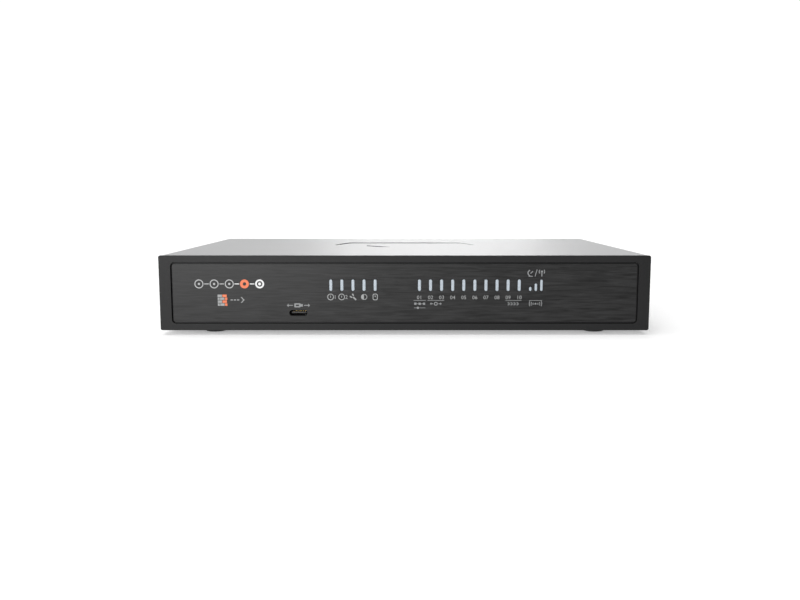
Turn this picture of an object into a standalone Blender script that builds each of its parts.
"""Desktop firewall appliance: a low sheet-metal case with a moulded front, its circuit board and its sockets.

Run with: blender --background --python part.py

Every size below is in millimetres, and the helpers scale it to metres. +X is the right-hand side seen from
the front, the front faces -Y and +Z is up. The origin is the middle of the footprint, on the surface that
the feet stand on.
"""

import math

import bmesh
import bpy
from mathutils import Matrix, Vector

MM = 0.001

# Case
WIDTH = 225.0
DEPTH = 150.0
BODY_HEIGHT = 34.5
FOOT_HEIGHT = 2.2
SHEET = 1.0  # sheet-metal thickness
GAP = 0.3  # clearance between neighbouring pieces
FINE_GAP = 0.12  # clearance of the light pipes and the connector shells in their slots
PLUG_PROUD = 4.0  # how far the dust plugs stand out of the rear wall
OVERCUT = 5.0  # how far a cutter reaches past the surface that it opens

FRONT = -(DEPTH + PLUG_PROUD) / 2
REAR = FRONT + DEPTH
SIDE = WIDTH / 2
BOTTOM = FOOT_HEIGHT
TOP = BOTTOM + BODY_HEIGHT
FLOOR_TOP = BOTTOM + SHEET
TRAY_SIDE = SIDE - SHEET - GAP  # outer face of the tray's side flanges
TRAY_TOP = TOP - SHEET - GAP
FLANGE_TOP = BOTTOM + 12.0
BEND_RADIUS = 1.5

# Front
LIP = 1.5  # part of the bezel that covers the front edges of the case
BEZEL_WALL = 3.0
BEZEL_DEPTH = 10.0
BEZEL_RIM = 2.0
FRAME_SIDE = 5.4
FRAME_EDGE = 3.1
POCKET_DEPTH = 1.4
PANEL_GROOVE = 0.75
PANEL_THICKNESS = 1.1
POCKET_RADIUS = 1.9
CORNER_RADIUS = 0.8
LED_PITCH = 5.08
LED_WIDTH = 1.5
LED_HEIGHT = 5.6
LED_TOP = TOP - 10.7
STATUS_X = -33.83
PORTS_X = STATUS_X + 8 * LED_PITCH
SIGNAL_X = PORTS_X + 10 * LED_PITCH
STATUS_COUNT = 5
PORT_COUNT = 10
SIGNAL_HEIGHTS = (2.1, 3.8, LED_HEIGHT)
LIGHT_PLATE = 2.2  # thickness of the plate behind a row of light pipes
LIGHT_MARGIN = 0.9  # how far that plate reaches past its outer windows
USB_X = -48.9
USB_WIDTH = 8.94
USB_HEIGHT = 3.26
USB_WALL = 0.3
USB_DEPTH = 7.6

# Circuit board
BOARD_THICKNESS = 1.6
BOARD_BOTTOM = FLOOR_TOP + 3.5
BOARD_TOP = BOARD_BOTTOM + BOARD_THICKNESS
ON_BOARD = BOARD_TOP + GAP
USB_Z = ON_BOARD + USB_HEIGHT / 2
BOARD_SIDE = 106.0
BOARD_FRONT = FRONT + BEZEL_WALL + 0.6
BOARD_REAR = REAR - SHEET - 0.8
BOARD_SCREWS = ((-99.0, -60.0), (99.0, -60.0), (-66.0, 40.0), (99.0, 40.0))
BOARD_SCREW_RADIUS = 1.3
SWITCH_CHIP = (5.0, 32.0)
INDUCTORS = ((84.0, 25.0), (84.0, 8.0))
INDUCTOR_HALF = 5.0
CAPACITORS = ((95.0, 22.0), (95.0, 10.0), (95.0, -2.0))
CAPACITOR_RADIUS = 4.0
CAPACITOR_HEIGHT = 10.0
CELL = (-90.0, -28.0)
CELL_FLOOR = 0.9

# Rear sockets, by the X of their middles
JACK_HEIGHT = 13.4
JACK_DEPTH = 21.5
JACK_PROUD = 0.5
JACK_PITCH = 13.97
JACK_SKIN = 0.4
JACK_CAVITY = 14.5
BLOCK_WIDTH = 57.2
CONSOLE_WIDTH = 16.0
JACKS = {"ethernet_a": (20.5, BLOCK_WIDTH, 4), "ethernet_b": (-40.5, BLOCK_WIDTH, 4),
         "console": (61.5, CONSOLE_WIDTH, 1)}  # middle, width and number of jacks
CAGE_X = -88.5
CAGE_WIDTH = 29.3
CAGE_HEIGHT = 9.8
CAGE_DEPTH = 47.5
CAGE_WALL = 0.4
CAGE_BAY = (CAGE_WIDTH - 3 * CAGE_WALL) / 2
CAGE_REAR = REAR + JACK_PROUD
DC_X = (94.5, 81.5)
DC_WIDTH = 9.0
DC_HEIGHT = 11.0
DC_DEPTH = 14.4
DC_BORE = 3.2
DC_BORE_DEPTH = 10.0
RESET_X = 72.5
LOCK_X = 105.0

# Openings in the rear wall
RESET_Z = ON_BOARD + 2.6
RESET_HOLE = 1.3
LOCK_SLOT = (3.0, 7.0)
LOCK_Z = BOTTOM + 11.5
GROUND_Z = TOP - 10.0
GROUND_SCREW_RADIUS = 1.5
VENT_WIDTH = 2.2
REAR_VENTS = 24
REAR_VENT_LENGTH = 7.0
REAR_VENT_PITCH = 5.5
REAR_VENT_X = -66.0
REAR_VENT_Z = TOP - 7.5

# Openings in the sides and the floor
SIDE_VENTS = 9
SIDE_VENT_LENGTH = 15.0
SIDE_VENT_PITCH = 5.0
SIDE_VENT_Z = TOP - 12.5
SIDE_VENT_STARTS = (FRONT + 14.0, FRONT + 86.0)
SIDE_SCREW_Z = BOTTOM + 7.0
SIDE_SCREWS_Y = (FRONT + 30.0, REAR - 20.0)
KEYHOLES = ((-25.0, 18.0), (75.0, 18.0))
FLOOR_VENTS = 9
FLOOR_VENT_LENGTH = 26.0
FLOOR_VENT_PITCH = 5.0
FLOOR_VENT_X = 30.0
FLOOR_VENT_Y = -32.0

# Ornament sunk in the top
ORNAMENT_Y = FRONT + 85.0
ORNAMENT_HALF = (39.0, 21.0)
ORNAMENT_DEPTH = 0.4
BAR_ENDS = ((-20.5, ORNAMENT_Y - 6.0), (-8.5, ORNAMENT_Y - 18.0))
BAR_WIDTH = 1.6
BAR_DEPTH = 0.7

# Heat path
PROCESSOR_X = 40.0
PROCESSOR_Y = -20.0
PROCESSOR_SIZE = 27.0
PROCESSOR_HEIGHT = 2.2
MEMORY_X = PROCESSOR_X - 46.0
PAD_HALF = 12.0
PAD_THICKNESS = 0.8
HEATSINK_SCREWS_X = (PROCESSOR_X - 32.0, PROCESSOR_X + 32.0)
HEATSINK_SCREW_RADIUS = 1.2
HEATSINK_HALF = (37.0, 30.0)
HEATSINK_FOOT = 3.0
HEATSINK_TOP = TOP - SHEET - 8.0
FINS = 11
FIN_PITCH = 5.2
FIN_WIDTH = 1.3

# Feet
FOOT_RADIUS = 5.0
FOOT_X = 90.0
FOOT_INSET = 14.0
STEM_RADIUS = 2.0

# Storage bay in the underside
BAY_X = -55.0
BAY_Y = -18.0
BAY_COVER = (36.0, 66.0)
BAY_OPENING = (26.0, 52.0)
BAY_DEPTH = 1.3
BAY_SCREW_Y = BAY_Y - 29.5
MODULE_SCREW = (BAY_X, BAY_Y - 15.4)
MODULE_SCREW_RADIUS = 0.8
MODULE_THICKNESS = 0.8


def start():
    for old in list(bpy.data.objects):
        bpy.data.objects.remove(old, do_unlink=True)


def material(name, colour, roughness, metallic=0.0):
    made = bpy.data.materials.new(name)
    made.use_nodes = True
    shader = made.node_tree.nodes["Principled BSDF"]
    shader.inputs["Base Color"].default_value = (*colour, 1.0)
    shader.inputs["Roughness"].default_value = roughness
    shader.inputs["Metallic"].default_value = metallic
    return made


def finish(name, bm, finish_material):
    """Turns a bmesh in millimetres into an object in metres, with its origin in its own middle."""
    bmesh.ops.recalc_face_normals(bm, faces=bm.faces[:])
    bmesh.ops.scale(bm, vec=(MM, MM, MM), verts=bm.verts[:])
    spans = [(min(values), max(values)) for values in zip(*(vert.co for vert in bm.verts))]
    middle = Vector([(low + high) / 2 for low, high in spans])
    bmesh.ops.translate(bm, vec=-middle, verts=bm.verts[:])
    mesh = bpy.data.meshes.new(name)
    bm.to_mesh(mesh)
    bm.free()
    made = bpy.data.objects.new(name, mesh)
    made.location = middle
    bpy.context.scene.collection.objects.link(made)
    if finish_material:
        mesh.materials.append(finish_material)
    return made


def smooth(made, degrees=35.0):
    made.data.shade_smooth()
    made.data.set_sharp_from_angle(angle=math.radians(degrees))
    return made


# Outlines, as lists of (u, v) points


def rectangle(u0, v0, u1, v1):
    return [(u0, v0), (u1, v0), (u1, v1), (u0, v1)]


def rounded(u0, v0, u1, v1, radius, steps=4):
    """A rectangle with round corners."""
    corners = ((u1 - radius, v1 - radius), (u0 + radius, v1 - radius),
               (u0 + radius, v0 + radius), (u1 - radius, v0 + radius))
    points = []
    for quarter, (cu, cv) in enumerate(corners):
        for step in range(steps + 1):
            angle = math.pi / 2 * (quarter + step / steps)
            points.append((cu + radius * math.cos(angle), cv + radius * math.sin(angle)))
    return points


def slot(cu, cv, width, height, steps=4):
    """A slot along its longer side, each end a half circle of that many steps."""
    radius = min(width, height) / 2
    reach_u = max(width - height, 0) / 2
    reach_v = max(height - width, 0) / 2
    start = -math.pi / 2 if width > height else 0.0
    points = []
    for end, sign in enumerate((1, -1)):
        for step in range(steps + 1):
            angle = start + math.pi * (end + step / steps)
            points.append((cu + sign * reach_u + radius * math.cos(angle),
                           cv + sign * reach_v + radius * math.sin(angle)))
    return points


def circle(cu, cv, radius, sides=20):
    return [(cu + radius * math.cos(2 * math.pi * i / sides),
             cv + radius * math.sin(2 * math.pi * i / sides)) for i in range(sides)]


# Solids

AXES = {"X": lambda u, v, w: (w, u, v), "Y": lambda u, v, w: (u, w, v), "Z": lambda u, v, w: (u, v, w)}


def prism(name, loops, axis, low, high, finish_material=None):
    """Fills the outlines, inner ones as holes, and extrudes them along axis from low to high."""
    place = AXES[axis]
    bm = bmesh.new()
    edges = []
    for loop in loops:
        ring = [bm.verts.new(place(u, v, low)) for u, v in loop]
        edges += [bm.edges.new((ring[i - 1], ring[i])) for i in range(len(ring))]
    normal = Vector(place(0, 0, 1))
    bmesh.ops.triangle_fill(bm, use_beauty=True, use_dissolve=False, edges=edges, normal=normal)
    grown = bmesh.ops.extrude_face_region(bm, geom=bm.faces[:])
    moved = [item for item in grown["geom"] if isinstance(item, bmesh.types.BMVert)]
    bmesh.ops.translate(bm, vec=normal * (high - low), verts=moved)
    return finish(name, bm, finish_material)


def block(name, low, high, finish_material=None):
    """A box between two corners."""
    bm = bmesh.new()
    bmesh.ops.create_cube(bm, size=1.0)
    size = Vector(high) - Vector(low)
    middle = (Vector(high) + Vector(low)) / 2
    bmesh.ops.scale(bm, vec=size, verts=bm.verts[:])
    bmesh.ops.translate(bm, vec=middle, verts=bm.verts[:])
    return finish(name, bm, finish_material)


def turned(name, profile, place, direction, finish_material=None, sides=12):
    """Spins (radius, height) points about an axis that starts at place and runs along direction."""
    bm = bmesh.new()
    chain = [bm.verts.new((radius, 0, height)) for radius, height in profile]
    edges = [bm.edges.new(pair) for pair in zip(chain, chain[1:])]
    bmesh.ops.spin(bm, geom=chain + edges, axis=(0, 0, 1), cent=(0, 0, 0),
                   angle=2 * math.pi, steps=sides, use_merge=True)
    bmesh.ops.remove_doubles(bm, verts=bm.verts[:], dist=0.0001)
    turn = Vector((0, 0, 1)).rotation_difference(Vector(direction)).to_matrix().to_4x4()
    bmesh.ops.transform(bm, matrix=Matrix.Translation(place) @ turn, verts=bm.verts[:])
    return smooth(finish(name, bm, finish_material))


def combine(target, operation, *tools):
    """Cuts the tools from target, or joins them to it. The tools stay in the file as wire helpers."""
    for tool in tools:
        tool.hide_render = True
        tool.display_type = "WIRE"
        modifier = target.modifiers.new(tool.name, "BOOLEAN")
        modifier.operation = operation
        modifier.solver = "EXACT"
        modifier.object = tool
    return target


def cut(target, *tools):
    return combine(target, "DIFFERENCE", *tools)


def join(target, *tools):
    return combine(target, "UNION", *tools)


# Materials

STEEL_PAINT = material("silver_paint", (0.74, 0.75, 0.76), 0.45, 0.3)
DARK_PLASTIC = material("dark_plastic", (0.045, 0.045, 0.047), 0.55)
BRUSHED_DARK = material("brushed_dark", (0.06, 0.06, 0.062), 0.4, 0.5)
LIGHT_PIPE = material("light_pipe", (0.75, 0.82, 0.88), 0.3)
RUBBER = material("rubber", (0.03, 0.03, 0.03), 0.85)
BOARD_GREEN = material("board", (0.02, 0.11, 0.05), 0.5)
CHIP_BLACK = material("chip", (0.02, 0.02, 0.022), 0.5)
ALUMINIUM = material("aluminium", (0.8, 0.8, 0.81), 0.35, 1.0)
PLATED_STEEL = material("plated_steel", (0.7, 0.7, 0.68), 0.3, 1.0)
JACK_PLASTIC = material("jack_plastic", (0.02, 0.02, 0.02), 0.5)
GOLD = material("gold", (0.9, 0.65, 0.25), 0.3, 1.0)
THERMAL = material("thermal_pad", (0.45, 0.6, 0.75), 0.8)
PLUG_RUBBER = material("plug_rubber", (0.05, 0.05, 0.055), 0.7)
CELL_STEEL = material("cell_steel", (0.75, 0.75, 0.74), 0.25, 1.0)


# Case


def led_slots(grow=0.0):
    """The outlines of all light-pipe windows on the front, each larger by grow all round."""
    groups = (status_leds(grow), port_leds(grow), signal_leds(grow))
    return [outline for group in groups for outline in group]


def led(x, height, grow):
    middle = LED_TOP - LED_HEIGHT + height / 2
    return slot(x, middle, LED_WIDTH + 2 * grow, height + 2 * grow)


def status_leds(grow=0.0):
    return [led(STATUS_X + i * LED_PITCH, LED_HEIGHT, grow) for i in range(STATUS_COUNT)]


def port_leds(grow=0.0):
    return [led(PORTS_X + i * LED_PITCH, LED_HEIGHT, grow) for i in range(PORT_COUNT)]


def signal_leds(grow=0.0):
    return [led(SIGNAL_X + i * LED_PITCH / 2, height, grow) for i, height in enumerate(SIGNAL_HEIGHTS)]


def usb_slot(grow=0.0):
    return slot(USB_X, USB_Z, USB_WIDTH + 2 * grow, USB_HEIGHT + 2 * grow, steps=5)


def make_front():
    """The moulded bezel with its shallow pocket, and the brushed panel that lies in it."""
    bezel = prism("front_bezel", [rounded(-SIDE, BOTTOM, SIDE, TOP, CORNER_RADIUS, 3)], "Y",
                  FRONT, FRONT + BEZEL_DEPTH, DARK_PLASTIC)
    plug = (TRAY_SIDE - SHEET - GAP, FLOOR_TOP + GAP, TRAY_TOP)
    outside = rectangle(-SIDE - OVERCUT, BOTTOM - OVERCUT, SIDE + OVERCUT, TOP + OVERCUT)
    behind = FRONT + BEZEL_DEPTH + OVERCUT
    rebate = prism("cut_bezel_rebate", [outside, rectangle(-plug[0], plug[1], plug[0], plug[2])], "Y",
                   FRONT + LIP, behind)
    hollow = prism("cut_bezel_hollow", [rectangle(-plug[0] + BEZEL_RIM, plug[1] + BEZEL_RIM,
                                                  plug[0] - BEZEL_RIM, plug[2] - BEZEL_RIM)], "Y",
                   FRONT + BEZEL_WALL, behind)
    pocket_box = (-SIDE + FRAME_SIDE, BOTTOM + FRAME_EDGE, SIDE - FRAME_SIDE, TOP - FRAME_EDGE)
    pocket = prism("cut_bezel_pocket", [rounded(*pocket_box, POCKET_RADIUS)], "Y",
                   FRONT - OVERCUT, FRONT + POCKET_DEPTH)
    windows = prism("cut_bezel_windows", led_slots(FINE_GAP) + [usb_slot(FINE_GAP)], "Y",
                    FRONT - OVERCUT, behind)
    cut(bezel, rebate, hollow, pocket, windows)
    inset = PANEL_GROOVE
    panel_box = (pocket_box[0] + inset, pocket_box[1] + inset, pocket_box[2] - inset, pocket_box[3] - inset)
    panel_outline = rounded(*panel_box, POCKET_RADIUS - inset)
    mouth = usb_slot(0.05 - USB_WALL)
    prism("front_panel", [panel_outline] + led_slots(FINE_GAP) + [mouth], "Y",
          FRONT, FRONT + PANEL_THICKNESS, BRUSHED_DARK)


def make_light_pipe(name, windows, low_x, high_x):
    """One clear moulding: a pipe for each window, on a plate that runs down to the lamps on the board."""
    near = FRONT + BEZEL_WALL + GAP
    plate = block(name, (low_x, near, ON_BOARD), (high_x, near + LIGHT_PLATE, LED_TOP + 1.0), LIGHT_PIPE)
    pipes = prism("join_" + name, windows, "Y", FRONT + 0.02, near + LIGHT_PLATE / 2)
    join(plate, pipes)


def make_light_pipes():
    edge = LED_WIDTH / 2 + LIGHT_MARGIN
    status_end = STATUS_X + (STATUS_COUNT - 1) * LED_PITCH
    port_end = PORTS_X + (PORT_COUNT - 1) * LED_PITCH
    make_light_pipe("status_light_pipe", status_leds(), STATUS_X - edge, status_end + edge)
    make_light_pipe("port_light_pipe", port_leds(), PORTS_X - edge, port_end + edge)
    make_light_pipe("signal_light_pipe", signal_leds(), SIGNAL_X - edge, SIGNAL_X + LED_PITCH + edge)


def make_top_cover():
    """A folded cover: the top and both sides in one sheet, with side vents and a sunk ornament."""
    low, bend, inner = BOTTOM, BEND_RADIUS, BEND_RADIUS - SHEET
    arc = [math.pi / 2 * i / 4 for i in range(5)]
    outer_right = [(SIDE - bend + bend * math.cos(a), TOP - bend + bend * math.sin(a)) for a in arc]
    inner_right = [(SIDE - bend + inner * math.cos(a), TOP - bend + inner * math.sin(a)) for a in arc]
    right = [(SIDE, low)] + outer_right
    left = [(-x, z) for x, z in reversed(right)]
    inside_left = [(-SIDE + SHEET, low)] + [(-x, z) for x, z in inner_right]
    inside_right = [(-x, z) for x, z in reversed(inside_left)]
    cover = prism("top_cover", [right + left + inside_left + inside_right], "Y",
                  FRONT + LIP + GAP, REAR, STEEL_PAINT)
    vents = [slot(first + i * SIDE_VENT_PITCH, SIDE_VENT_Z, VENT_WIDTH, SIDE_VENT_LENGTH)
             for first in SIDE_VENT_STARTS for i in range(SIDE_VENTS)]
    side_vents = prism("cut_side_vents", vents, "X", -SIDE - OVERCUT, SIDE + OVERCUT)
    field = prism("cut_ornament_field", [long_hexagon(0.0, ORNAMENT_Y, *ORNAMENT_HALF)], "Z",
                  TOP - ORNAMENT_DEPTH, TOP + OVERCUT)
    bar = prism("cut_ornament_bar", [stroke(*BAR_ENDS, BAR_WIDTH)], "Z", TOP - BAR_DEPTH, TOP + OVERCUT)
    cut(cover, side_vents, field, bar)
    for side in (-1, 1):
        for y in SIDE_SCREWS_Y:
            profile = flat_screw(2.0, 4.0, grow=GAP)
            place = (side * SIDE, y, SIDE_SCREW_Z)
            cut(cover, turned(f"cut_cover_sink_{side}_{y:.0f}", profile, place, (side, 0, 0)))
    smooth(cover)


def long_hexagon(cx, cy, half_length, half_width):
    shoulder = half_length - half_width / 3
    return [(cx + half_length, cy), (cx + shoulder, cy + half_width), (cx - shoulder, cy + half_width),
            (cx - half_length, cy), (cx - shoulder, cy - half_width), (cx + shoulder, cy - half_width)]


def stroke(start, end, width, steps=6):
    """A straight stroke between two points, with round ends."""
    along = math.atan2(end[1] - start[1], end[0] - start[0])
    points = []
    for (x, y), side in ((end, -1), (start, 1)):
        for step in range(steps + 1):
            angle = along + side * math.pi / 2 + math.pi * step / steps
            points.append((x + width / 2 * math.cos(angle), y + width / 2 * math.sin(angle)))
    return points


def rear_openings():
    """Outlines of everything that passes through the rear wall."""
    jack = (ON_BOARD - GAP, ON_BOARD + JACK_HEIGHT + GAP)
    openings = []
    for x, width, _ in JACKS.values():
        openings.append(rectangle(x - width / 2 - GAP, jack[0], x + width / 2 + GAP, jack[1]))
    cage = CAGE_WIDTH / 2 + GAP
    openings.append(rectangle(CAGE_X - cage, ON_BOARD - GAP, CAGE_X + cage, ON_BOARD + CAGE_HEIGHT + GAP))
    for x in DC_X:
        openings.append(rectangle(x - DC_WIDTH / 2 - GAP, ON_BOARD - GAP,
                                  x + DC_WIDTH / 2 + GAP, ON_BOARD + DC_HEIGHT + GAP))
    openings.append(circle(RESET_X, RESET_Z, RESET_HOLE, 12))
    openings.append(rounded(LOCK_X - LOCK_SLOT[0] / 2, LOCK_Z - LOCK_SLOT[1] / 2,
                            LOCK_X + LOCK_SLOT[0] / 2, LOCK_Z + LOCK_SLOT[1] / 2, 0.6, 2))
    openings.append(circle(LOCK_X, GROUND_Z, GROUND_SCREW_RADIUS + GAP, 12))
    for i in range(REAR_VENTS):
        openings.append(slot(REAR_VENT_X + i * REAR_VENT_PITCH, REAR_VENT_Z, VENT_WIDTH, REAR_VENT_LENGTH))
    return openings


def keyhole(cx, cy, head_radius=3.9, neck_radius=2.0, reach=8.0):
    """A wall-mounting keyhole: a round mouth with a narrow slot towards +Y."""
    meet = math.asin(neck_radius / head_radius)
    points = []
    for i in range(13):
        angle = math.pi / 2 + meet + (2 * math.pi - 2 * meet) * i / 12
        points.append((cx + head_radius * math.cos(angle), cy + head_radius * math.sin(angle)))
    for i in range(7):
        angle = math.pi * i / 6
        points.append((cx + neck_radius * math.cos(angle), cy + reach + neck_radius * math.sin(angle)))
    return points


def foot_places():
    front, rear = FRONT + FOOT_INSET, REAR - FOOT_INSET
    return {"foot_front_left": (-FOOT_X, front), "foot_front_right": (FOOT_X, front),
            "foot_rear_left": (-FOOT_X, rear), "foot_rear_right": (FOOT_X, rear)}


def make_base_tray():
    """The lower case: floor, low side flanges, rear wall, board pillars and the sunk storage bay."""
    front = FRONT + LIP + GAP
    trough = rectangle(-TRAY_SIDE, BOTTOM, TRAY_SIDE, FLANGE_TOP)[:3] + [
        (TRAY_SIDE - SHEET, FLANGE_TOP), (TRAY_SIDE - SHEET, FLOOR_TOP),
        (-TRAY_SIDE + SHEET, FLOOR_TOP), (-TRAY_SIDE + SHEET, FLANGE_TOP), (-TRAY_SIDE, FLANGE_TOP)]
    tray = prism("base_tray", [trough], "Y", front, REAR - SHEET / 2, STEEL_PAINT)
    rear_outline = rectangle(-TRAY_SIDE, BOTTOM, TRAY_SIDE, TRAY_TOP)
    rear_wall = prism("join_rear_wall", [rear_outline] + rear_openings(), "Y", REAR - SHEET, REAR)
    bay_wide, bay_long = BAY_COVER[0] / 2 + GAP, BAY_COVER[1] / 2 + GAP
    bay = block("join_bay", (BAY_X - bay_wide - SHEET, BAY_Y - bay_long - SHEET, BOTTOM + 0.2),
                (BAY_X + bay_wide + SHEET, BAY_Y + bay_long + SHEET, BOTTOM + BAY_DEPTH + SHEET))
    pillars = prism("join_pillars", [circle(x, y, 3.4, 16) for x, y in BOARD_SCREWS], "Z",
                    BOTTOM + 0.3, BOARD_BOTTOM - GAP)
    join(tray, rear_wall, bay, pillars)
    sunk = block("cut_bay_recess", (BAY_X - bay_wide, BAY_Y - bay_long, BOTTOM - OVERCUT),
                 (BAY_X + bay_wide, BAY_Y + bay_long, BOTTOM + BAY_DEPTH))
    half = (BAY_OPENING[0] / 2, BAY_OPENING[1] / 2)
    opening_y = BAY_Y + 4.0
    through = [rounded(BAY_X - half[0], opening_y - half[1], BAY_X + half[0], opening_y + half[1], 2.0, 2)]
    through += [circle(x, y, BOARD_SCREW_RADIUS + GAP, 12) for x, y in BOARD_SCREWS]
    through += [circle(x, y, STEM_RADIUS + GAP, 12) for x, y in foot_places().values()]
    through += [keyhole(x, y) for x, y in KEYHOLES]
    through += [slot(FLOOR_VENT_X + i * FLOOR_VENT_PITCH, FLOOR_VENT_Y, VENT_WIDTH, FLOOR_VENT_LENGTH)
                for i in range(FLOOR_VENTS)]
    through.append(circle(BAY_X, BAY_SCREW_Y, 1.25 + GAP, 12))
    holes = prism("cut_floor_holes", through, "Z", BOTTOM - OVERCUT, BOARD_BOTTOM + 2)
    screw_holes = prism("cut_flange_holes", [circle(y, SIDE_SCREW_Z, 1.0 + GAP, 12) for y in SIDE_SCREWS_Y],
                        "X", -SIDE - OVERCUT, SIDE + OVERCUT)
    cut(tray, sunk, holes, screw_holes)


def make_feet():
    """Rubber feet, each with a stem pushed through the floor."""
    r, h = FOOT_RADIUS, FOOT_HEIGHT
    profile = [(0, 0), (r - 0.6, 0), (r, 0.6), (r, h - GAP), (STEM_RADIUS, h - GAP),
               (STEM_RADIUS, h + SHEET + 0.8), (1.2, h + SHEET + 1.6), (0, h + SHEET + 1.6)]
    for name, (x, y) in foot_places().items():
        turned(name, profile, (x, y, 0), (0, 0, 1), RUBBER, 16)


# Fasteners


def flat_screw(head_radius, length, grow=0.0):
    """Countersunk screw, its flat head at height 0 and its shank below."""
    shank = head_radius / 2 + grow
    head = head_radius + grow
    lift = 0.0 if grow == 0 else 3.0
    return [(0, lift), (head, lift), (head, -0.15 - grow / 2), (shank, -head_radius * 0.55 - grow / 2),
            (shank, -length), (0, -length)]


def pan_screw(head_radius, head_height, shank_radius, length):
    """Screw with a low round head that stands above height 0 and a shank below it."""
    return [(0, head_height), (head_radius * 0.6, head_height), (head_radius * 0.9, head_height * 0.7),
            (head_radius, head_height * 0.25), (head_radius, 0), (shank_radius, 0),
            (shank_radius, -length), (0, -length)]


def cross_recess(name, place, direction, reach, depth, top):
    """A cross-shaped cutter sunk into a screw's head."""
    half = reach * 0.22
    arm = [(reach, -half), (reach, half), (half, half)]
    outline = []
    for _ in range(4):
        outline += arm
        arm = [(-v, u) for u, v in arm]
    tool = prism(name, [outline], "Z", top - depth, top + 2)
    turn = Vector((0, 0, 1)).rotation_difference(Vector(direction)).to_matrix().to_4x4()
    tool.matrix_world = Matrix.Translation(Vector(place) * MM) @ turn @ tool.matrix_basis
    return tool


def screw(name, profile, place, direction, finish_material, reach, depth):
    """A turned screw with a cross recess of that reach and depth."""
    made = turned(name, profile, place, direction, finish_material)
    top = profile[0][1]
    return cut(made, cross_recess("cut_" + name, place, direction, reach, depth, top))


def make_case_screws():
    sides = {"left": -1, "right": 1}
    rows = {"front": SIDE_SCREWS_Y[0], "rear": SIDE_SCREWS_Y[1]}
    for row, y in rows.items():
        for side, sign in sides.items():
            screw(f"cover_screw_{row}_{side}", flat_screw(2.0, 4.0), (sign * SIDE, y, SIDE_SCREW_Z),
                  (sign, 0, 0), PLATED_STEEL, 1.1, 0.7)
    screw("ground_screw", pan_screw(3.0, 1.7, GROUND_SCREW_RADIUS, 5.0), (LOCK_X, REAR + GAP, GROUND_Z),
          (0, 1, 0), PLATED_STEEL, 1.6, 1.0)


def make_board_screws():
    names = ("board_screw_front_left", "board_screw_front_right", "board_screw_rear_left",
             "board_screw_rear_right")
    for name, (x, y) in zip(names, BOARD_SCREWS):
        profile = pan_screw(2.6, 1.6, BOARD_SCREW_RADIUS, BOARD_THICKNESS + 3.5)
        screw(name, profile, (x, y, ON_BOARD), (0, 0, 1), PLATED_STEEL, 1.4, 0.9)


# Board and what it carries


def make_board():
    outline = rounded(-BOARD_SIDE, BOARD_FRONT, BOARD_SIDE, BOARD_REAR, 2.0, 2)
    holes = [circle(x, y, BOARD_SCREW_RADIUS + GAP, 12) for x, y in BOARD_SCREWS]
    holes += [circle(x, PROCESSOR_Y, HEATSINK_SCREW_RADIUS + GAP, 12) for x in HEATSINK_SCREWS_X]
    holes.append(circle(*MODULE_SCREW, MODULE_SCREW_RADIUS + GAP, 12))
    prism("main_board", [outline] + holes, "Z", BOARD_BOTTOM, BOARD_TOP, BOARD_GREEN)


def chip(name, x, y, width, length, height, finish_material=CHIP_BLACK):
    """A flat package with a small bevel at its first corner."""
    edge = 0.4
    outline = [(x - width / 2 + edge, y - length / 2), (x + width / 2, y - length / 2),
               (x + width / 2, y + length / 2), (x - width / 2, y + length / 2),
               (x - width / 2, y - length / 2 + edge)]
    prism(name, [outline], "Z", ON_BOARD, ON_BOARD + height, finish_material)


def make_electronics():
    """The processor and its memory, the network switch, and the parts of the power supply."""
    chip("processor", PROCESSOR_X, PROCESSOR_Y, PROCESSOR_SIZE, PROCESSOR_SIZE, PROCESSOR_HEIGHT)
    chip("memory_chip_1", MEMORY_X, PROCESSOR_Y - 8.0, 8.0, 13.0, 1.1)
    chip("memory_chip_2", MEMORY_X, PROCESSOR_Y + 8.0, 8.0, 13.0, 1.1)
    chip("switch_chip", *SWITCH_CHIP, 15.0, 15.0, 1.2)
    for i, (x, y) in enumerate(INDUCTORS):
        outline = rounded(x - INDUCTOR_HALF, y - INDUCTOR_HALF, x + INDUCTOR_HALF, y + INDUCTOR_HALF, 1.5, 2)
        prism(f"power_inductor_{i + 1}", [outline], "Z", ON_BOARD, ON_BOARD + 4.0, CHIP_BLACK)
    r, h = CAPACITOR_RADIUS, CAPACITOR_HEIGHT
    profile = [(0, 0), (r - 0.4, 0), (r, 0.6), (r - 0.3, 1.4), (r, 2.2), (r, h - 0.4), (r - 0.4, h), (0, h)]
    for i, (x, y) in enumerate(CAPACITORS):
        turned(f"power_capacitor_{i + 1}", profile, (x, y, ON_BOARD), (0, 0, 1), ALUMINIUM)


def make_cell():
    """The clock's coin cell, lying in an open ring-shaped holder."""
    ring = prism("cell_holder", [circle(*CELL, 12.0, 24), circle(*CELL, 10.4, 24)], "Z",
                 ON_BOARD, ON_BOARD + 4.6, JACK_PLASTIC)
    foot = prism("join_cell_holder", [circle(*CELL, 11.0, 24)], "Z", ON_BOARD + 0.01, ON_BOARD + CELL_FLOOR)
    join(ring, foot)
    smooth(ring)
    profile = [(0, 0), (9.2, 0), (9.2, 0.5), (10.0, 0.8), (10.0, 2.9), (9.7, 3.2), (0, 3.2)]
    turned("coin_cell", profile, (*CELL, ON_BOARD + CELL_FLOOR + GAP), (0, 0, 1), CELL_STEEL, 24)


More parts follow.
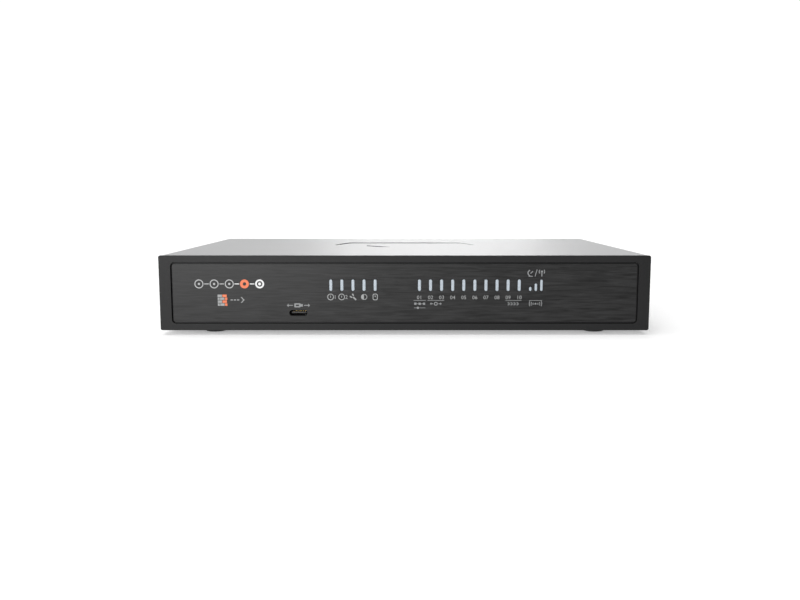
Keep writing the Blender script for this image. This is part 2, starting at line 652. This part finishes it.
def make_heatsink():
    """Finned aluminium block over the processor, with a screw in each ear."""
    pad_low = ON_BOARD + PROCESSOR_HEIGHT + GAP
    pad_high = pad_low + PAD_THICKNESS
    block("thermal_pad", (PROCESSOR_X - PAD_HALF, PROCESSOR_Y - PAD_HALF, pad_low),
          (PROCESSOR_X + PAD_HALF, PROCESSOR_Y + PAD_HALF, pad_high), THERMAL)
    low = pad_high + GAP
    foot_top, half = low + HEATSINK_FOOT, HEATSINK_HALF[0]
    comb = [(PROCESSOR_X - half, foot_top), (PROCESSOR_X - half, low),
            (PROCESSOR_X + half, low), (PROCESSOR_X + half, foot_top)]
    for i in reversed(range(FINS)):
        x = PROCESSOR_X + (i - (FINS - 1) / 2) * FIN_PITCH
        comb += [(x + FIN_WIDTH / 2, foot_top), (x + FIN_WIDTH / 2 - 0.2, HEATSINK_TOP),
                 (x - FIN_WIDTH / 2 + 0.2, HEATSINK_TOP), (x - FIN_WIDTH / 2, foot_top)]
    sink = prism("heatsink", [comb], "Y", PROCESSOR_Y - HEATSINK_HALF[1], PROCESSOR_Y + HEATSINK_HALF[1],
                 ALUMINIUM)
    holes = [circle(x, PROCESSOR_Y, HEATSINK_SCREW_RADIUS + GAP, 12) for x in HEATSINK_SCREWS_X]
    cut(sink, prism("cut_heatsink_holes", holes, "Z", low - 2, foot_top + 2))
    length = foot_top + GAP - BOARD_BOTTOM + 0.4
    for i, x in enumerate(HEATSINK_SCREWS_X):
        screw(f"heatsink_screw_{i + 1}", pan_screw(2.6, 1.8, HEATSINK_SCREW_RADIUS, length),
              (x, PROCESSOR_Y, foot_top + GAP), (0, 0, 1), PLATED_STEEL, 1.4, 0.9)


# Sockets


def make_usb_c():
    """The front USB-C receptacle: a round-ended shell, closed behind, and the contact tongue in it.

    Its mouth is just behind the panel, whose own opening hides the rim of the shell.
    """
    front = FRONT + POCKET_DEPTH
    shell = prism("usb_c_shell", [usb_slot()], "Y", front, front + USB_DEPTH, PLATED_STEEL)
    cut(shell, prism("cut_usb_c_shell", [usb_slot(-USB_WALL)], "Y", front - OVERCUT, front + USB_DEPTH - 0.4))
    smooth(shell)
    root, tip = 0.95, 0.35
    near, step, back = front + 0.9, front + USB_DEPTH - 2.1, front + USB_DEPTH - 0.6
    side = [(near, USB_Z - tip), (step, USB_Z - tip), (step, USB_Z - root), (back, USB_Z - root),
            (back, USB_Z + root), (step, USB_Z + root), (step, USB_Z + tip), (near, USB_Z + tip)]
    prism("usb_c_tongue", [side], "X", USB_X - 3.35, USB_X + 3.35, JACK_PLASTIC)


def plug_opening(x, grow=0.0):
    """The stepped mouth of a modular jack, its latch side down."""
    low, g = ON_BOARD + 2.0, grow
    return [(x - 5.9 - g, low + 2.5 - g), (x - 3.1 - g, low + 2.5 - g), (x - 3.1 - g, low + 1.1 - g),
            (x - 1.7 - g, low + 1.1 - g), (x - 1.7 - g, low - g), (x + 1.7 + g, low - g),
            (x + 1.7 + g, low + 1.1 - g), (x + 3.1 + g, low + 1.1 - g), (x + 3.1 + g, low + 2.5 - g),
            (x + 5.9 + g, low + 2.5 - g), (x + 5.9 + g, low + 9.2 + g), (x - 5.9 - g, low + 9.2 + g)]


def make_jack(name, x, width, count):
    """A shielded row of modular jacks: a folded shield, open below, round a moulded insert."""
    rear = REAR + JACK_PROUD
    front, top = rear - JACK_DEPTH, ON_BOARD + JACK_HEIGHT
    half = width / 2
    middles = [x + (i - (count - 1) / 2) * JACK_PITCH for i in range(count)]
    shield = block(name + "_shield", (x - half, front, ON_BOARD), (x + half, rear, top), PLATED_STEEL)
    hollow = block(f"cut_{name}_hollow", (x - half + JACK_SKIN, front + JACK_SKIN, ON_BOARD - OVERCUT),
                   (x + half - JACK_SKIN, rear - JACK_SKIN, top - JACK_SKIN))
    mouths = prism(f"cut_{name}_mouths", [plug_opening(m, 0.1) for m in middles], "Y",
                   rear - 2, rear + OVERCUT)
    cut(shield, hollow, mouths)
    clear = JACK_SKIN + GAP
    insert = block(name + "_insert", (x - half + clear, front + clear, ON_BOARD + 0.05),
                   (x + half - clear, rear - clear, top - clear), JACK_PLASTIC)
    cavities = prism(f"cut_{name}_cavities", [plug_opening(m) for m in middles], "Y",
                     rear - JACK_CAVITY, rear + OVERCUT)
    cut(insert, cavities)


def make_jacks():
    for name, (x, width, count) in JACKS.items():
        make_jack(name, x, width, count)


def cage_bay_middles():
    offset = (CAGE_BAY + CAGE_WALL) / 2
    return (CAGE_X + offset, CAGE_X - offset)


def make_transceiver_cage():
    """Two optical-module bays side by side, each with its board connector at the inner end."""
    front = CAGE_REAR - CAGE_DEPTH
    cage = block("transceiver_cage", (CAGE_X - CAGE_WIDTH / 2, front, ON_BOARD),
                 (CAGE_X + CAGE_WIDTH / 2, CAGE_REAR, ON_BOARD + CAGE_HEIGHT), PLATED_STEEL)
    bays = [rectangle(m - CAGE_BAY / 2, ON_BOARD + CAGE_WALL, m + CAGE_BAY / 2,
                      ON_BOARD + CAGE_HEIGHT - CAGE_WALL) for m in cage_bay_middles()]
    wells = [rectangle(m - 6.4, front + 1.0, m + 6.4, front + 10.0) for m in cage_bay_middles()]
    cut(cage, prism("cut_cage_bays", bays, "Y", front + CAGE_WALL, CAGE_REAR + OVERCUT),
        prism("cut_cage_wells", wells, "Z", ON_BOARD - 3, ON_BOARD + 2))
    low = ON_BOARD + 0.05
    back, mouth = front + 1.4, front + 9.4
    profile = [(back, low), (mouth, low), (mouth, low + 2.2), (back + 2.0, low + 2.2),
               (back + 2.0, low + 3.6), (mouth, low + 3.6), (mouth, low + 5.6), (back, low + 5.6)]
    for i, middle in enumerate(cage_bay_middles()):
        prism(f"transceiver_connector_{i + 1}", [profile], "X", middle - 5.9, middle + 5.9, JACK_PLASTIC)


def make_dust_plugs():
    """Moulded plugs that close the empty bays: a hollow-ended body, a flange and a pull tab."""
    rear = CAGE_REAR
    for i, middle in enumerate(cage_bay_middles()):
        name = f"dust_plug_{i + 1}"
        low, high = ON_BOARD + CAGE_WALL + GAP, ON_BOARD + CAGE_HEIGHT - CAGE_WALL - GAP
        half = CAGE_BAY / 2 - GAP
        body = block(name, (middle - half, rear - 13.0, low), (middle + half, rear + 1.0, high),
                     PLUG_RUBBER)
        flange = block("join_" + name + "_flange", (middle - half - 0.3, rear + GAP, low - 0.5),
                       (middle + half + 0.3, rear + 1.5, high + 0.5))
        centre = (low + high) / 2
        tab = block("join_" + name + "_tab", (middle - 4.5, rear + 0.8, centre - 1.2),
                    (middle + 4.5, REAR + PLUG_PROUD, centre + 1.2))
        join(body, flange, tab)
        cut(body, block("cut_" + name, (middle - half + 1.4, rear - 20, low + 1.4),
                        (middle + half - 1.4, rear - 3.0, high - 1.4)))


def make_power_sockets():
    """Two DC inlets: a block with a round mouth, and the centre pin in it."""
    rear = REAR + JACK_PROUD
    for i, x in enumerate(DC_X):
        centre = ON_BOARD + DC_HEIGHT / 2
        body = block(f"dc_socket_{i + 1}", (x - DC_WIDTH / 2, rear - DC_DEPTH, ON_BOARD),
                     (x + DC_WIDTH / 2, rear, ON_BOARD + DC_HEIGHT), JACK_PLASTIC)
        floor = rear - DC_BORE_DEPTH
        bore = prism(f"cut_dc_socket_{i + 1}", [circle(x, centre, DC_BORE, 24)], "Y", floor, rear + OVERCUT)
        cut(body, bore)
        profile = [(0, 0), (1.1, 0), (1.1, 7.9), (0.8, 8.5), (0, 8.7)]
        turned(f"dc_pin_{i + 1}", profile, (x, floor + GAP, centre), (0, 1, 0), GOLD)


def make_reset():
    """The recessed reset button behind a pinhole, and the switch that it works."""
    face = REAR - SHEET - GAP
    body = block("reset_switch", (RESET_X - 3.0, face - 7.5, ON_BOARD),
                 (RESET_X + 3.0, face - 2.2, ON_BOARD + 5.2), JACK_PLASTIC)
    well = circle(RESET_X, RESET_Z, 1.5 + GAP, 16)
    cut(body, prism("cut_reset_switch", [well], "Y", face - 4.6, face + 1))
    profile = [(0, 0), (1.5, 0), (1.5, 1.4), (1.0, 1.7), (1.0, 3.1), (0.8, 3.3), (0, 3.3)]
    turned("reset_button", profile, (RESET_X, face - 3.5, RESET_Z), (0, 1, 0), PLUG_RUBBER)


# Storage bay


def make_storage():
    """The storage module under the board, its connector and screw, and the cover that closes the bay."""
    x, top = BAY_X, BOARD_BOTTOM - GAP
    half, front, rear = 11.0, BAY_Y - 15.0, BAY_Y + 27.0
    arc = [math.pi * (1 - i / 6) for i in range(7)]
    notch = [(x + 1.4 * math.cos(angle), front + 1.4 * math.sin(angle)) for angle in arc]
    outline = [(x + half, front), (x + half, rear), (x - half, rear), (x - half, front)] + notch
    card = prism("storage_module", [outline], "Z", top - MODULE_THICKNESS, top, BOARD_GREEN)
    chips = [rectangle(x - 8.5, BAY_Y - 9.0, x + 8.5, BAY_Y + 3.0),
             rectangle(x - 6.0, BAY_Y + 6.0, x + 6.0, BAY_Y + 15.0)]
    join(card, prism("join_storage_chips", chips, "Z", top - 1.9, top - 0.4))
    back, mouth = rear + 2.4, rear - 3.2
    under = top - MODULE_THICKNESS - GAP
    profile = [(back, top), (back, top - 2.5), (mouth, top - 2.5), (mouth, under),
               (rear + GAP, under), (rear + GAP, top)]
    prism("storage_connector", [profile], "X", x - half, x + half, JACK_PLASTIC)
    screw("storage_module_screw", pan_screw(1.9, 0.7, MODULE_SCREW_RADIUS, 3.0), (*MODULE_SCREW, under),
          (0, 0, -1), PLATED_STEEL, 1.0, 0.4)
    wide, long = BAY_COVER[0] / 2, BAY_COVER[1] / 2
    plate = rounded(x - wide, BAY_Y - long, x + wide, BAY_Y + long, 1.5, 3)
    cover = prism("storage_cover", [plate], "Z", BOTTOM, BOTTOM + SHEET, STEEL_PAINT)
    place = (x, BAY_SCREW_Y, BOTTOM)
    cut(cover, turned("cut_storage_cover", flat_screw(2.5, 4.0, grow=GAP), place, (0, 0, -1)))
    screw("storage_cover_screw", flat_screw(2.5, 4.0), place, (0, 0, -1), PLATED_STEEL, 1.4, 0.8)


# Assembly


def assemble(name, makers):
    """Makes some pieces and hangs them on an empty of that name."""
    before = set(bpy.data.objects)
    for maker in makers:
        maker()
    empty = bpy.data.objects.new(name, None)
    bpy.context.scene.collection.objects.link(empty)
    for made in set(bpy.data.objects) - before - {empty}:
        made.parent = empty


def main():
    start()
    assemble("case", (make_front, make_light_pipes, make_top_cover, make_base_tray, make_feet,
                      make_case_screws))
    assemble("electronics", (make_board, make_board_screws, make_electronics, make_cell, make_heatsink))
    assemble("sockets", (make_usb_c, make_jacks, make_transceiver_cage, make_power_sockets, make_reset))
    assemble("storage", (make_storage,))
    assemble("loose_plugs", (make_dust_plugs,))


main()
